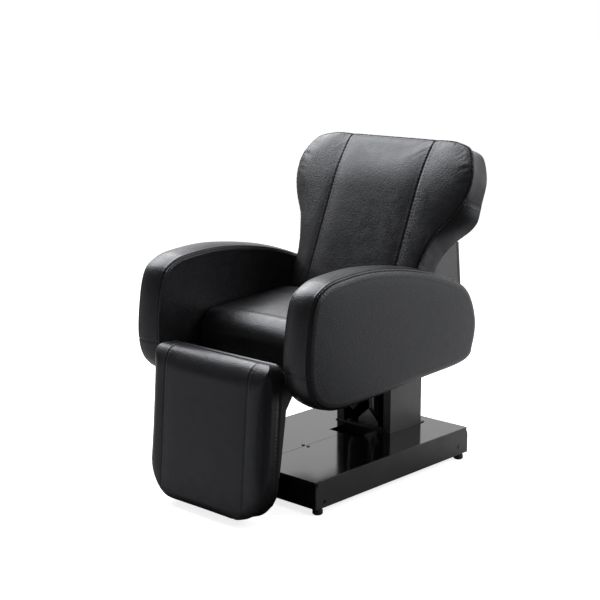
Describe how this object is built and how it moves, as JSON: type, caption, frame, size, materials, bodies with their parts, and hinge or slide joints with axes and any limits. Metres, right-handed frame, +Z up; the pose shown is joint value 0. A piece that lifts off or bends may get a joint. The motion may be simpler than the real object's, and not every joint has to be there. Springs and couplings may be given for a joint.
{
  "type": "electric shampoo chair",
  "caption": "Padded salon washing chair on a flat base with a lifting column, deep arms, a backrest that reclines and a legrest that rises with it.",
  "frame": {"origin": "floor level under the middle of the whole chair's bounding box, legrest and backrest at rest", "axes": "+X to the sitter's left, +Y to the rear, +Z up"},
  "size_m": [0.646, 0.8667, 0.9412],
  "materials": {
    "upholstery": "satin",
    "vinyl_backed_board": "satin",
    "plywood": "matte",
    "gloss_cover": "gloss",
    "side_panel_paint": "satin",
    "column_paint": "satin",
    "frame_paint": "satin",
    "cast_aluminium": "satin",
    "bright_steel": "polished",
    "zinc_steel": "satin",
    "black_screw": "satin",
    "foot_rubber": "matte",
    "black_plastic": "satin",
    "guide_nylon": "satin",
    "rear_cover_paint": "satin",
    "rear_panel_black": "satin"
  },
  "bodies": {
    "base": {"base_rail_left": "frame_paint", "base_rail_right": "frame_paint", "base_cross_members": "frame_paint", "base_cover_left": "gloss_cover", "base_cover_right": "gloss_cover", "side_panel_left": "side_panel_paint", "side_panel_right": "side_panel_paint", "cover_screws": "black_screw", "side_screws": "black_screw", "levelling_feet": "foot_rubber", "foot_studs": "zinc_steel", "control_box": "black_plastic", "control_box_lid": "black_plastic", "power_inlet": "black_plastic", "handset_socket": "black_plastic", "column_foot": "column_paint", "column_shell": "column_paint", "column_bolts": "zinc_steel", "column_guides": "guide_nylon", "lift_gearbox": "cast_aluminium", "lift_motor": "black_plastic", "lift_tube": "bright_steel"},
    "lift": {"lift_rod": "bright_steel", "mast": "frame_paint", "mast_gussets": "cast_aluminium", "mount_plate": "frame_paint", "frame_bolts": "zinc_steel", "seat_rail_left": "frame_paint", "seat_rail_right": "frame_paint", "seat_cross_members": "frame_paint", "hinge_pins": "bright_steel", "hinge_washers": "guide_nylon", "seat_board": "plywood", "seat_cushion": "upholstery", "arm_core_left": "vinyl_backed_board", "arm_core_right": "vinyl_backed_board", "arm_pad_left": "upholstery", "arm_pad_right": "upholstery", "arm_brackets": "frame_paint", "recline_gearbox": "cast_aluminium", "recline_motor": "black_plastic", "recline_tube": "bright_steel", "actuator_clamp": "frame_paint"},
    "backrest": {"back_bracket_left": "frame_paint", "back_bracket_right": "frame_paint", "back_board": "vinyl_backed_board", "back_cushion": "upholstery", "back_cover": "rear_cover_paint", "back_panel": "rear_panel_black", "back_screws": "zinc_steel"},
    "legrest": {"leg_bracket_left": "frame_paint", "leg_bracket_right": "frame_paint", "leg_board": "vinyl_backed_board", "leg_cushion": "upholstery", "leg_screws": "zinc_steel"},
    "push_frame": {"push_bars": "frame_paint", "crosshead": "frame_paint", "recline_rod": "bright_steel", "drive_pins": "bright_steel"}
  },
  "joints": [
    {"name": "lift", "type": "slide", "parent": "base", "child": "lift", "axis": [0, 0, 1], "range_m": [0, 0.15]},
    {"name": "recline", "type": "hinge", "parent": "lift", "child": "backrest", "pos_m": [0, 0.205, 0.432], "axis": [-1, 0, 0], "range_deg": [0, 50]},
    {"name": "legrest", "type": "hinge", "parent": "lift", "child": "legrest", "pos_m": [0, -0.255, 0.385], "axis": [-1, 0, 0], "range_deg": [0, 76]},
    {"name": "push", "type": "slide", "parent": "lift", "child": "push_frame", "axis": [0, -1, 0], "range_m": [0, 0.084]}
  ],
  "couplings": [
    {"joint": "legrest", "follows": "recline", "ratio": 1.52},
    {"joint": "push", "follows": "recline", "m_per_rad": 0.09625}
  ]
}
